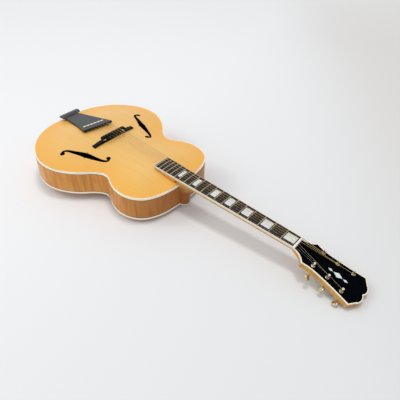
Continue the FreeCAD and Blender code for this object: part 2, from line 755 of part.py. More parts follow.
case_solids = []
bush_solids = []
tuner_nodes = {}
pivots = {}
head_holes = []
for number, (side, px, pv) in zip(TUNER_NUMBERS, tuners):
    post_line = V(px, pv, 0)
    gear_low = worm_level - GEAR_THICK / 2
    gear_high = worm_level + GEAR_THICK / 2
    worm_y = pv + WORM_OFFSET
    head_holes.append(Part.makeCylinder(BUSH_RADIUS + GLUE, BUSH_DEPTH + GLUE, post_line, V(0, 0, -1)))
    head_holes.append(Part.makeCylinder(POST_RADIUS + AIR, HEAD_THICK + AIR, post_line, V(0, 0, -1)))

    bush = rod(V(px, pv, -BUSH_DEPTH), V(px, pv, BUSH_FLANGE), BUSH_RADIUS)
    bush_bore = rod(V(px, pv, -HEAD_THICK), V(px, pv, HEAD_THICK), POST_RADIUS + RUN_FIT)
    bush_solids.append(bush.cut(bush_bore))

    seat_half = POST_RADIUS * gear_seat_share
    post = rod(V(px, pv, gear_high), V(px, pv, POST_HEIGHT), POST_RADIUS)
    seat = box(px - seat_half, px + seat_half, pv - seat_half, pv + seat_half, gear_low, gear_high)
    post = post.fuse(seat)
    teeth = []
    for step in range(2 * GEAR_TEETH):
        angle = math.pi * step / GEAR_TEETH
        radius = GEAR_RADIUS - GEAR_TOOTH * (step % 2)
        teeth.append(V(px + radius * math.cos(angle), pv + radius * math.sin(angle), gear_low))
    seat_room = seat_half + GLUE
    gear = polygon_prism(teeth, V(0, 0, GEAR_THICK - GLUE))
    gear = gear.cut(box(px - seat_room, px + seat_room, pv - seat_room, pv + seat_room, gear_low, gear_high))

    outer_x = px + side * CASE_HALF
    case_y0 = pv - CASE_REAR
    case_y1 = worm_y + CASE_SHELL
    case = box(px - CASE_HALF, px + CASE_HALF, case_y0, case_y1, back_level - CASE_DEPTH, back_level - GLUE)
    round_edges = []
    for edge in case.Edges:
        if edge.BoundBox.ZMin < back_level - CASE_DEPTH / 2:
            round_edges.append(edge)
    case = case.makeChamfer(CASE_ROUND, round_edges)
    ear = box(
        px - CASE_REAR / 2,
        px + CASE_REAR / 2,
        case_y0 - EAR_LENGTH,
        case_y0 + CASE_ROUND,
        back_level - EAR_THICK,
        back_level - GLUE,
    )
    case = case.fuse(ear)
    gear_span = GEAR_RADIUS + AIR
    gear_room = box(px - gear_span, px + gear_span, pv - gear_span, worm_y, gear_low - AIR, back_level + AIR)
    worm_half = GEAR_RADIUS + AIR
    journal = rod(
        V(px, worm_y, worm_level),
        V(outer_x + side * CASE_HALF, worm_y, worm_level),
        SHAFT_RADIUS + RUN_FIT,
    )
    lift_room = box(
        px - worm_half - AIR,
        px + worm_half + AIR,
        worm_y - WORM_RADIUS - AIR,
        worm_y + WORM_RADIUS + AIR,
        worm_level - WORM_RADIUS - AIR,
        back_level + AIR,
    )
    case = case.cut(gear_room).cut(journal).cut(lift_room)
    case_solids.append(case.removeSplitter().Solids[0])

    button_x = px + side * BUTTON_GAP
    drum = []
    for step in range(WORM_SIDES):
        angle = 2 * math.pi * step / WORM_SIDES
        spot = V(0, WORM_RADIUS * math.cos(angle), WORM_RADIUS * math.sin(angle))
        drum.append(V(px - worm_half + AIR, worm_y, worm_level).add(spot))
    worm = polygon_prism(drum, V(2 * (worm_half - AIR), 0, 0))
    worm_start = V(px, worm_y, worm_level)
    button_start = V(button_x, worm_y, worm_level)
    worm = worm.fuse(rod(worm_start, button_start, SHAFT_RADIUS)).removeSplitter()

    turn = FreeCAD.Rotation(X_AXIS, BUTTON_TURNS[number - 1])
    blade = button_blade()
    blade.translate(V(side * BUTTON_LENGTH / 2, 0, 0))
    collar = []
    for step in range(WORM_SIDES):
        angle = 2 * math.pi * step / WORM_SIDES
        spot = V(0, COLLAR_RADIUS * math.cos(angle), COLLAR_RADIUS * math.sin(angle))
        collar.append(spot.sub(V(side * COLLAR_LENGTH / 2, 0, 0)))
    blade = blade.fuse(polygon_prism(collar, V(side * COLLAR_LENGTH, 0, 0)))
    flat = SHAFT_RADIUS * shaft_flat_share
    room = flat + GLUE
    seat_end = BUTTON_LENGTH / 2
    square = [V(0, -flat, -flat), V(0, flat, -flat), V(0, flat, flat), V(0, -flat, flat)]
    seat = polygon_prism(square, V(side * seat_end, 0, 0))
    eye = [V(0, -room, -room), V(0, room, -room), V(0, room, room), V(0, -room, room)]
    seat_room = polygon_prism(eye, V(side * (seat_end + GLUE), 0, 0))
    mouth = rod(V(-side * COLLAR_LENGTH, 0, 0), V(side * GLUE, 0, 0), SHAFT_RADIUS + GLUE)
    button = blade.cut(seat_room).cut(mouth).removeSplitter()
    button = placed(button, FreeCAD.Placement(button_start, turn))
    worm = worm.fuse(placed(seat, FreeCAD.Placement(button_start, turn)))

    tuner_nodes["tuner_post_%d" % number] = placed(post, HEAD_PLACE)
    tuner_nodes["tuner_gear_%d" % number] = placed(gear, HEAD_PLACE)
    tuner_nodes["tuner_worm_%d" % number] = placed(worm, HEAD_PLACE)
    tuner_nodes["tuner_button_%d" % number] = placed(button, HEAD_PLACE)
    pivots["post_%d" % number] = (HEAD_PLACE.multVec(post_line), HEAD_PLACE.Rotation.multVec(Z_AXIS))
    pivots["button_%d" % number] = (HEAD_PLACE.multVec(V(button_x, worm_y, worm_level)), V(side, 0, 0))

for hole in head_holes:
    head_core = head_core.cut(hole)
    head_veneer = head_veneer.cut(hole)

# Neck made whole
over_head = placed(box(-ROOM, ROOM, 0, ROOM, -VENEER - GLUE, ROOM), HEAD_PLACE)
nut_ledge = placed(box(-ROOM, ROOM, -ROOM, NUT_LENGTH, -BOARD_THICK - GLUE, ROOM), NECK_PLACE)
truss_line = -BOARD_THICK - TRUSS_SINK
truss_start = V(0, -TRUSS_FROM, truss_line)
truss_stop = V(0, -TRUSS_TO, truss_line)
truss_rod = rod(truss_start, truss_stop, TRUSS_RADIUS)
truss_room = rod(truss_start.add(V(0, GLUE, 0)), truss_stop.sub(V(0, GLUE, 0)), TRUSS_RADIUS + GLUE)
tongue_wood = placed(tongue, NECK_PLACE).common(prism(outer_wire, -ROOM, ROOM))
neck = placed(shaft.fuse(shaft_toe), NECK_PLACE).cut(over_head)
neck = neck.fuse(tongue_wood).fuse(heel).cut(body_room)
neck = neck.fuse(tenon_box).fuse(placed(head_core, HEAD_PLACE).cut(nut_ledge)).removeSplitter()
neck = neck.cut(placed(truss_room, NECK_PLACE))


# A string's notch: open above, and sloping down with the string both ways from the crest
def string_notch(crest, stops, groove, reach):
    cutters = []
    for stop in stops:
        way = stop.sub(crest).normalize()
        aside = way.cross(Z_AXIS).normalize().multiply(groove)
        floor = crest.sub(V(0, 0, groove)).sub(V(way).multiply(groove))
        run = V(way).multiply(groove + reach)
        corners = [floor.add(aside), floor.sub(aside), floor.sub(aside).add(run), floor.add(aside).add(run)]
        cutters.append(polygon_prism(corners, V(0, 0, reach)))
    return cutters


# Strings: straight runs that bend over the saddle and the nut
def string_solid(points, radius):
    circle = Part.Wire(Part.makeCircle(radius, points[0], points[1].sub(points[0])))
    return Part.makePolygon(points).makePipeShell([circle], True, False, 1)


string_solids = []
saddle_notches = []
nut_notches = []
ball_solids = []
hole_rods = []
for index, size in enumerate(STRING_SIZES):
    share = index / (len(STRING_SIZES) - 1) - 1 / 2
    number = len(STRING_SIZES) - index
    radius = size / 2
    nut_x = NUT_SPREAD * share
    saddle_x = SADDLE_SPREAD * share
    ball_x = BALL_SPREAD * share
    crown = BOARD_RADIUS - math.sqrt(BOARD_RADIUS ** 2 - nut_x ** 2)
    nut_point = NECK_PLACE.multVec(V(nut_x, NUT_CREST, NUT_LIFT + radius - crown))
    saddle_drop = BOARD_RADIUS - math.sqrt(BOARD_RADIUS ** 2 - saddle_x ** 2)
    saddle_point = V(saddle_x, BRIDGE_Y, SADDLE_LEVEL - saddle_drop)
    slant = -TAIL_SLANT * ball_x / TAIL_FRONT_HALF
    ball_centre = TAIL_PLACE.multVec(V(ball_x, TAIL_PLATE_LENGTH - SLOT_FROM_FRONT + slant, -BALL_SINK))
    way = saddle_point.sub(ball_centre).normalize()
    start = ball_centre.add(V(way).multiply(BALL_RADIUS + GLUE))
    side, px, pv = tuners[TUNER_NUMBERS.index(number)]
    post_side = px - side * (POST_RADIUS + AIR + radius)
    end = HEAD_PLACE.multVec(V(post_side, pv, STRING_POST_LEVEL))
    points = [start, saddle_point, nut_point, end]
    string_solids.append(string_solid(points, radius))
    groove = radius + STRING_AIR
    saddle_notches.extend(string_notch(saddle_point, (start, nut_point), groove, SADDLE_WIDTH))
    nut_notches.extend(string_notch(nut_point, (saddle_point, end), groove, SADDLE_WIDTH))
    hole_rods.append(rod(ball_centre, saddle_point, radius + STRING_ROOM))
    half_ball = V(BALL_LENGTH / 2, 0, 0)
    barrel = []
    for step in range(WORM_SIDES):
        angle = 2 * math.pi * step / WORM_SIDES
        spot = V(0, BALL_RADIUS * math.cos(angle), BALL_RADIUS * math.sin(angle))
        barrel.append(ball_centre.sub(half_ball).add(spot))
    ball_solids.append(polygon_prism(barrel, V(BALL_LENGTH, 0, 0)))
wound_strings = Part.makeCompound(string_solids[:WOUND_COUNT])
plain_strings = Part.makeCompound(string_solids[WOUND_COUNT:])
string_balls = Part.makeCompound(ball_solids)

# Nut, in the frame of the neck
nut_half = NUT_WIDTH / 2
nut_fall = NUT_LENGTH * math.tan(math.radians(NUT_FALL))
nut_top = NUT_LIFT + STRING_SIZES[0] / 2
nut_profile = [
    V(-nut_half, GLUE, -BOARD_THICK),
    V(-nut_half, NUT_LENGTH - GLUE, -BOARD_THICK),
    V(-nut_half, NUT_LENGTH - GLUE, nut_top - nut_fall),
    V(-nut_half, NUT_CREST, nut_top),
    V(-nut_half, GLUE, nut_top),
]
nut = polygon_prism(nut_profile, V(NUT_WIDTH, 0, 0))
nut_dome = rod(
    V(0, -NUT_LENGTH, nut_top - BOARD_RADIUS),
    V(0, NUT_LENGTH + NUT_LENGTH, nut_top - BOARD_RADIUS),
    BOARD_RADIUS,
)
nut = placed(nut.common(nut_dome), NECK_PLACE)
for notch in nut_notches:
    nut = nut.cut(notch)

# Tailpiece, in its own tilted frame: top face at Z = 0, Y toward the bridge
waist_half = TAIL_REAR_HALF + (TAIL_FRONT_HALF - TAIL_REAR_HALF) * tail_waist_shares[1]
waist_y = TAIL_PLATE_LENGTH * tail_waist_shares[0]
rear_right = V(TAIL_REAR_HALF, 0, 0)
rear_left = V(-TAIL_REAR_HALF, 0, 0)
front_right = V(TAIL_FRONT_HALF, TAIL_PLATE_LENGTH - TAIL_SLANT, 0)
front_left = V(-TAIL_FRONT_HALF, TAIL_PLATE_LENGTH + TAIL_SLANT, 0)
tail_edges = [
    Part.makeLine(rear_left, rear_right),
    Part.Arc(rear_right, V(waist_half, waist_y, 0), front_right).toShape(),
    Part.makeLine(front_right, front_left),
    Part.Arc(front_left, V(-waist_half, waist_y, 0), rear_left).toShape(),
]
tail_face = Part.Face(Part.Wire(tail_edges))
tail_face.translate(V(0, 0, -TAIL_PLATE_THICK))
tail_plate = tail_face.extrude(V(0, 0, TAIL_PLATE_THICK))
top_edges = [edge for edge in tail_plate.Edges if edge.BoundBox.ZMin > -TAIL_ROUND]
tail_plate = tail_plate.makeChamfer(TAIL_ROUND, top_edges)
slot_half = BALL_SPREAD / 2 + SLOT_END
slot_y = TAIL_PLATE_LENGTH - SLOT_FROM_FRONT
slot_slant = TAIL_SLANT * slot_half / TAIL_FRONT_HALF
slot_points = [
    V(-slot_half, slot_y + slot_slant - SLOT_WIDTH / 2, -SLOT_DEPTH),
    V(slot_half, slot_y - slot_slant - SLOT_WIDTH / 2, -SLOT_DEPTH),
    V(slot_half, slot_y - slot_slant + SLOT_WIDTH / 2, -SLOT_DEPTH),
    V(-slot_half, slot_y + slot_slant + SLOT_WIDTH / 2, -SLOT_DEPTH),
]
tail_plate = tail_plate.cut(polygon_prism(slot_points, V(0, 0, SLOT_DEPTH + SLOT_DEPTH)))
tailpiece = placed(tail_plate, TAIL_PLACE)
for hole in hole_rods:
    tailpiece = tailpiece.cut(hole)

cap_half = TAIL_CAP_WIDTH / 2
cap_profile = []
for along, up in tail_cap_shares:
    cap_profile.append(V(-cap_half, TAIL_CAP_LENGTH * along, GLUE + TAIL_CAP_HEIGHT * up))
tail_cap = placed(polygon_prism(cap_profile, V(TAIL_CAP_WIDTH, 0, 0)), TAIL_PLACE)

# Bracket from under the tailpiece, over the edge and down the tail
strap_half = STRAP_WIDTH / 2
strap_face_y = TAIL_Y - GLUE
leg_high = -TAIL_PLATE_THICK - GLUE
leg = box(-strap_half, strap_half, -STRAP_LEG, STRAP_LEG, leg_high - STRAP_THICK, leg_high)
leg = placed(leg, TAIL_PLACE)
leg = leg.common(box(-ROOM, ROOM, strap_face_y - STRAP_THICK, BRIDGE_Y, -ROOM, ROOM))
drop_high = leg.BoundBox.ZMin + STRAP_THICK
drop = box(-strap_half, strap_half, strap_face_y - STRAP_THICK, strap_face_y, -STRAP_DROP, drop_high)
bracket = leg.fuse(drop).removeSplitter()
bracket = bracket.cut(pin_room)

pin_face_y = strap_face_y - STRAP_THICK - GLUE
pin_collar_y = pin_face_y - PIN_COLLAR_LENGTH
pin_neck_y = pin_collar_y - PIN_NECK_LENGTH
pin_end_y = pin_neck_y - PIN_HEAD_LENGTH
end_pin = rod(pin_start, V(0, pin_face_y, -PIN_LEVEL), PIN_RADIUS)
end_pin = end_pin.fuse(rod(V(0, pin_face_y, -PIN_LEVEL), V(0, pin_collar_y, -PIN_LEVEL), PIN_COLLAR))
end_pin = end_pin.fuse(rod(V(0, pin_collar_y, -PIN_LEVEL), V(0, pin_neck_y, -PIN_LEVEL), PIN_NECK))
end_pin = end_pin.fuse(rod(V(0, pin_neck_y, -PIN_LEVEL), V(0, pin_end_y, -PIN_LEVEL), PIN_HEAD))
end_pin = end_pin.removeSplitter()

# Bridge base, studs, thumbwheels and saddle
end_arch = TOP_ARCH * arch_share(BRIDGE_HALF, BRIDGE_Y)
half_width = BRIDGE_WIDTH / 2
base_points = [
    V(-BRIDGE_HALF, BRIDGE_Y - half_width, 0),
    V(BRIDGE_HALF, BRIDGE_Y - half_width, 0),
    V(BRIDGE_HALF, BRIDGE_Y - half_width, end_arch + BRIDGE_END),
    V(BRIDGE_PLATEAU, BRIDGE_Y - half_width, BRIDGE_TOP),
    V(-BRIDGE_PLATEAU, BRIDGE_Y - half_width, BRIDGE_TOP),
    V(-BRIDGE_HALF, BRIDGE_Y - half_width, end_arch + BRIDGE_END),
]
bridge_base = polygon_prism(base_points, V(0, BRIDGE_WIDTH, 0)).cut(under_top.translated(V(0, 0, GLUE)))
wheel_low = BRIDGE_TOP + WHEEL_GAP
wheel_high = wheel_low + WHEEL_THICK
saddle_low = wheel_high + RUN_FIT
stud_solids = []
wheels = {}
saddle_bores = []
for name, turn in (("bass", -1), ("treble", 1)):
    stud_x = turn * STUD_SPREAD / 2
    stud_low = V(stud_x, BRIDGE_Y, BRIDGE_TOP - STUD_SINK)
    stud_high = V(stud_x, BRIDGE_Y, BRIDGE_TOP - STUD_SINK + STUD_LENGTH)
    stud_solids.append(rod(stud_low, stud_high, STUD_RADIUS))
    bridge_base = bridge_base.cut(rod(stud_low.sub(V(0, 0, GLUE)), stud_high, STUD_RADIUS + GLUE))
    rim_points = []
    for step in range(2 * WHEEL_KNURLS):
        angle = math.pi * step / WHEEL_KNURLS
        radius = WHEEL_RADIUS - WHEEL_KNURL * (step % 2)
        spot = V(radius * math.cos(angle), radius * math.sin(angle), 0)
        rim_points.append(spot.add(V(stud_x, BRIDGE_Y, wheel_low)))
    wheel = polygon_prism(rim_points, V(0, 0, WHEEL_THICK))
    wheels[name] = wheel.cut(rod(stud_low, stud_high, STUD_RADIUS + RUN_FIT))
    pivots["thumbwheel_" + name] = (V(stud_x, BRIDGE_Y, (wheel_low + wheel_high) / 2), Z_AXIS)
    saddle_bores.append(rod(stud_low, stud_high.add(V(0, 0, WHEEL_GAP + AIR)), STUD_RADIUS + RUN_FIT))
bridge_studs = Part.makeCompound(stud_solids)

saddle_top = SADDLE_LEVEL + STRING_SIZES[0] / 4
shoulder = saddle_top - (SADDLE_WIDTH / 2) * math.tan(math.radians(SADDLE_FALL))
saddle_y0 = BRIDGE_Y - SADDLE_WIDTH / 2
saddle_y1 = BRIDGE_Y + SADDLE_WIDTH / 2
saddle_profile = [
    V(-SADDLE_HALF, saddle_y0, saddle_low),
    V(-SADDLE_HALF, saddle_y1, saddle_low),
    V(-SADDLE_HALF, saddle_y1, shoulder),
    V(-SADDLE_HALF, BRIDGE_Y, saddle_top),
    V(-SADDLE_HALF, saddle_y0, shoulder),
]
saddle = polygon_prism(saddle_profile, V(2 * SADDLE_HALF, 0, 0))
saddle_dome = rod(
    V(0, BRIDGE_Y - SADDLE_WIDTH, saddle_top - BOARD_RADIUS),
    V(0, BRIDGE_Y + SADDLE_WIDTH, saddle_top - BOARD_RADIUS),
    BOARD_RADIUS,
)
end_slope = [
    V(-SADDLE_HALF, saddle_y0, saddle_low),
    V(SADDLE_HALF, saddle_y0, saddle_low),
    V(SADDLE_HALF - SADDLE_END, saddle_y0, saddle_top),
    V(-SADDLE_HALF + SADDLE_END, saddle_y0, saddle_top),
]
saddle = saddle.common(saddle_dome).common(polygon_prism(end_slope, V(0, SADDLE_WIDTH, 0)))
for bore in saddle_bores:
    saddle = saddle.cut(bore)
for notch in saddle_notches:
    saddle = saddle.cut(notch)
pivots["saddle"] = (V(0, BRIDGE_Y, saddle_low), Z_AXIS)
pivots["end_pin"] = (V(0, pin_end_y, -PIN_LEVEL), V(0, -1, 0))

nodes = {
    "top_plate": top_plate,
    "back_plate": back_plate,
    "rim_bass": rim_bass,
    "rim_treble": rim_treble,
    "kerfed_linings": linings,
    "neck_block": neck_block,
    "end_block": end_block,
    "tone_bars": tone_bars,
    "top_binding": top_binding,
    "back_binding": back_binding,
    "neck": neck,
    "heel_cap": heel_cap,
    "truss_rod": placed(truss_rod, NECK_PLACE),
    "fingerboard": placed(fingerboard, NECK_PLACE),
    "fingerboard_binding": placed(fingerboard_binding, NECK_PLACE),
    "frets": placed(frets, NECK_PLACE),
    "position_inlays": placed(position_inlays, NECK_PLACE),
    "nut": nut,
    "head_veneer": placed(head_veneer, HEAD_PLACE).cut(nut_ledge),
    "head_binding": placed(head_binding, HEAD_PLACE).cut(nut_ledge),
    "head_inlay": placed(head_inlay, HEAD_PLACE),
    "tuner_housings": placed(Part.makeCompound(case_solids), HEAD_PLACE),
    "tuner_bushings": placed(Part.makeCompound(bush_solids), HEAD_PLACE),
    "tailpiece": tailpiece,
    "tailpiece_cap": tail_cap,
    "tailpiece_bracket": bracket,
    "string_ball_ends": string_balls,
    "end_pin": end_pin,
    "bridge_base": bridge_base,
    "bridge_posts": bridge_studs,
    "bridge_saddle": saddle,
    "thumbwheel_bass": wheels["bass"],
    "thumbwheel_treble": wheels["treble"],
    "wound_strings": wound_strings,
    "plain_strings": plain_strings,
}
nodes.update(tuner_nodes)


# Lay the guitar on its back: crown of the back and the lowest edge of the head on the floor
back_line = []
for step in range(TABLE_SAMPLES):
    y = TAIL_Y + BODY_LENGTH * step / TABLE_SAMPLES
    back_line.append((y, BACK_Z - BACK_ARCH * arch_share(0, y)))
head_line = []
for name in ("neck", "tuner_housings"):
    for edge in nodes[name].Edges:
        head_line.extend((spot.y, spot.z) for spot in edge.discretize(EDGE_SAMPLES) if spot.y > 0)


def lowest(line, tilt):
    return min(z * math.cos(tilt) - y * math.sin(tilt) for y, z in line)


flat = 0
steep = math.radians(NECK_ANGLE + HEAD_ANGLE)
for step in range(HALVINGS):
    tilt = (flat + steep) / 2
    if lowest(head_line, tilt) > lowest(back_line, tilt):
        flat = tilt
    else:
        steep = tilt
lay_turn = FreeCAD.Placement(ORIGIN, FreeCAD.Rotation(X_AXIS, -math.degrees(tilt)))
laid = {name: placed(shape, lay_turn) for name, shape in nodes.items()}
limits = [shape.optimalBoundingBox(False) for shape in laid.values()]
middle_x = (min(limit.XMin for limit in limits) + max(limit.XMax for limit in limits)) / 2
middle_y = (min(limit.YMin for limit in limits) + max(limit.YMax for limit in limits)) / 2
floor_z = min(limit.ZMin for limit in limits)
lay_shift = FreeCAD.Placement(V(-middle_x, -middle_y, -floor_z), FreeCAD.Rotation())
LAY_PLACE = lay_shift.multiply(lay_turn)

os.makedirs("parts", exist_ok=True)
for name, shape in nodes.items():
    placed(shape, LAY_PLACE).exportStep("parts/%s.step" % name)
print("tilt", math.degrees(tilt), "shift", -middle_x, -middle_y, -floor_z)
for name, (spot, way) in pivots.items():
    spot = LAY_PLACE.multVec(spot)
    way = LAY_PLACE.Rotation.multVec(way)
    print("pivot", name, spot.x, spot.y, spot.z, way.x, way.y, way.z)
for name, shape in nodes.items():
    print("node", name, len(shape.Solids), round(shape.Volume), shape.isValid())
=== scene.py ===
import json
import math

import bpy
from mathutils import Matrix, Vector


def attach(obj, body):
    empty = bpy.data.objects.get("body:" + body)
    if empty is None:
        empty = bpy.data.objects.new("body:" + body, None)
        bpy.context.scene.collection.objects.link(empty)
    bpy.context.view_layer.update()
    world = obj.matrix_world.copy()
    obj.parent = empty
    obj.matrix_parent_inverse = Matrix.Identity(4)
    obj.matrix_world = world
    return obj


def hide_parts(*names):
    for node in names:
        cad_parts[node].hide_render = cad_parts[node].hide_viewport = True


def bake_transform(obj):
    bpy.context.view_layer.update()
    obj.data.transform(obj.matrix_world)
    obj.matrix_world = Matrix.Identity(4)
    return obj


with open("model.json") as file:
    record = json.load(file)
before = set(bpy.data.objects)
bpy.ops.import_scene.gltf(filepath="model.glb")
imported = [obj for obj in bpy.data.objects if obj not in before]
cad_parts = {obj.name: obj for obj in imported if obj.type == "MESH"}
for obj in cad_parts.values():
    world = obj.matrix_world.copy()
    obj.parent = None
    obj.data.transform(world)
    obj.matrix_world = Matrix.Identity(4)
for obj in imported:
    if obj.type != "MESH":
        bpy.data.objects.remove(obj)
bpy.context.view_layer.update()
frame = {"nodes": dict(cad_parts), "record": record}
NODES = frame["nodes"]
BODY = "guitar"

# The guitar's own frame, in millimetres: origin at the front of the nut on the
# centre line, Y toward the head, Z = 0 in the plane of the top's edge. The part
# lies on its back, so that frame is tilted and shifted into the part's frame.
MM_PER_METRE = 1000
LAY_TILT = math.radians(2.711767)
LAY_SHIFT = (0.0, 349.57272, 67.95259)
SCALE_LENGTH = 648.0
SEMITONES = 12
BODY_FRET = 14
LAST_FRET = 20
BODY_LENGTH = 510.0
BOARD_RISE = 21.6
BOARD_RADIUS = 305.0
NECK_ANGLE = math.radians(2.4)
HEAD_ANGLE = math.radians(11.6)
HEAD_STEP = (0.0, 5.0, -4.5)
TAIL_TILT = math.radians(7.4)
TAIL_REAR = 2.0
TAIL_LIFT = 10.6


def fret_y(number):
    return -SCALE_LENGTH * (1 - 2 ** (-number / SEMITONES))


JOINT_Y = fret_y(BODY_FRET)
BRIDGE_Y = -SCALE_LENGTH
TAIL_Y = JOINT_Y - BODY_LENGTH
NUT_Z = BOARD_RISE + JOINT_Y * math.tan(NECK_ANGLE)
TAIL_BASE = (0.0, TAIL_Y + TAIL_REAR, TAIL_LIFT)


def tipped(point, angle):
    x, y, z = point
    return (x, y * math.cos(angle) - z * math.sin(angle), y * math.sin(angle) + z * math.cos(angle))


def moved(point, step):
    return tuple(a + b for a, b in zip(point, step))


def body_point(x, y, z):
    laid = moved(tipped((x, y, z), -LAY_TILT), LAY_SHIFT)
    return Vector(laid) / MM_PER_METRE


def neck_point(x, y, z):
    return body_point(*moved(tipped((x, y, z), -NECK_ANGLE), (0, 0, NUT_Z)))


def head_point(x, y, z):
    return neck_point(*moved(tipped((x, y, z), -HEAD_ANGLE), HEAD_STEP))


def tail_point(x, y, z):
    return body_point(*moved(tipped((x, y, z), TAIL_TILT), TAIL_BASE))


# Material tools
BODY_UP = (body_point(0, 0, 1) - body_point(0, 0, 0)).normalized()
EDGE_RISE = body_point(0, 0, 0).dot(BODY_UP)
MIX_SOCKETS = (0, 6, 7)
MIX_RESULT = 2
EASE_SAMPLES = 6
WHITE = (1, 1, 1)
BLACK = (0, 0, 0)


def opaque(value):
    """A colour of three numbers gains the fourth; anything else stays."""
    if isinstance(value, tuple) and len(value) == 3:
        return (*value, 1)
    return value


class Shade:
    """One procedural material: its nodes, links and principled shader."""

    def __init__(self, name):
        self.material = bpy.data.materials.new(name)
        self.material.use_nodes = True
        self.tree = self.material.node_tree
        self.shader = self.tree.nodes["Principled BSDF"]
        source = self.node("ShaderNodeTexCoord")
        self.place = source.outputs["Object"]
        self.facing = source.outputs["Normal"]

    def node(self, kind, inputs=None, **settings):
        made = self.tree.nodes.new(kind)
        for key, value in settings.items():
            setattr(made, key, value)
        for key, value in (inputs or {}).items():
            self.feed(made.inputs[key], value)
        return made

    def feed(self, socket, value):
        if isinstance(value, bpy.types.NodeSocket):
            self.tree.links.new(value, socket)
        else:
            socket.default_value = value

    def set(self, **values):
        for key, value in values.items():
            self.feed(self.shader.inputs[key.replace("_", " ")], value)

    def calc(self, kind, *values):
        return self.node("ShaderNodeMath", dict(enumerate(values)), operation=kind).outputs["Value"]

    def part_of(self, vector, axis):
        return self.node("ShaderNodeSeparateXYZ", {"Vector": vector}).outputs[axis]

    def along(self, way):
        """How far the place lies along a direction, in metres."""
        made = self.node("ShaderNodeVectorMath", {0: self.place, 1: way}, operation="DOT_PRODUCT")
        return made.outputs["Value"]

    def height(self):
        """Height above the plane of the top's edge, in metres."""
        return self.calc("SUBTRACT", self.along(BODY_UP), EDGE_RISE)

    def stretched(self, scale):
        return self.node("ShaderNodeMapping", {"Vector": self.place, "Scale": scale}).outputs[0]

    def noise(self, scale, detail=3.0, bend=0.0):
        inputs = {"Vector": self.stretched(scale), "Scale": 1.0, "Detail": detail}
        inputs.update({"Roughness": 0.55, "Distortion": bend})
        return self.node("ShaderNodeTexNoise", inputs).outputs["Fac"]

    def ramp(self, factor, *stops):
        made = self.node("ShaderNodeValToRGB", {"Fac": factor})
        band = made.color_ramp
        while len(band.elements) < len(stops):
            band.elements.new(0.5)
        for element, (position, colour) in zip(band.elements, stops):
            element.position = position
            element.color = opaque(colour)
        return made.outputs["Color"]

    def level(self, factor, low, high, start=0.0, end=1.0, way="LINEAR"):
        """Runs from low to high while the factor runs from start to end."""
        inputs = {"Value": factor, "From Min": start, "From Max": end, "To Min": low, "To Max": high}
        return self.node("ShaderNodeMapRange", inputs, interpolation_type=way).outputs["Result"]

    def mix(self, factor, first, second, blend="MIX"):
        made = self.node("ShaderNodeMix", data_type="RGBA", blend_type=blend)
        for socket, value in zip(MIX_SOCKETS, (factor, first, second)):
            self.feed(made.inputs[socket], opaque(value))
        return made.outputs[MIX_RESULT]

    def eased(self, radius):
        """The surface's normal with its edges rounded off."""
        return self.node("ShaderNodeBevel", {"Radius": radius}, samples=EASE_SAMPLES).outputs["Normal"]

    def bump(self, height, strength, distance, edge=0.0004):
        inputs = {"Height": height, "Strength": strength, "Distance": distance}
        inputs["Normal"] = self.eased(edge)
        return self.node("ShaderNodeBump", inputs).outputs["Normal"]


# Wood. Lengths are in metres, as the nodes see them; a pair of limits is where a change starts and ends
SHADED_BARE_WOOD = (0.16, 0.10, 0.055)
# Tone of the painted shade on the rims toward the neck and low on the heel
PAINTED_SHADE_TONE = (0.32, 0.095, 0.020)
# Tone of the painted sheen contrast round the top's edge
GOLDEN = (0.87, 0.40, 0.032)
DARKENED_SIDE_TONE = (0.012, 0.008, 0.006)
PURFLING = (0.09, 0.035, 0.012)
PURFLING_LEVELS = (-0.0068, -0.0692)
PURFLING_HALF = 0.0006
SEAM_HALF = 0.0012
GRAIN_RELIEF = 0.0002
BROAD_TONE = (3.0, 1.6, 3.0)
STEEP_FACE = (0.3, 0.5)
BARE_FACE = (0.2, 0.5)
WAIST_TO_NECK = (-0.17, -0.01)
EDGE_TO_ARCH = (0.0015, 0.013)
HEEL_TO_SHAFT = (0.055, 0.088)
JOINT_TO_SHAFT = (0.05, 0.11)


def toward_neck(shade):
    """Painted shade: the rims darker from the waist to the neck, where less light reaches them."""
    return shade.level(shade.part_of(shade.place, "Y"), 0.0, 0.75, *WAIST_TO_NECK)


def at_the_edge(shade):
    """Painted sheen contrast: the top deeper amber round its edge, where the plate is lowest, so the
    paler middle stands for sheen.
    """
    return shade.level(shade.height(), 0.62, 0.0, *EDGE_TO_ARCH)


def round_heel(shade):
    """Painted shade: the neck darker low on the heel, which lies in shade between the body and the
    neck.
    """
    low = shade.level(shade.part_of(shade.place, "Z"), 0.9, 0.0, *HEEL_TO_SHAFT)
    near = shade.level(shade.part_of(shade.place, "Y"), 1.0, 0.0, *JOINT_TO_SHAFT)
    return shade.calc("MULTIPLY", low, near)


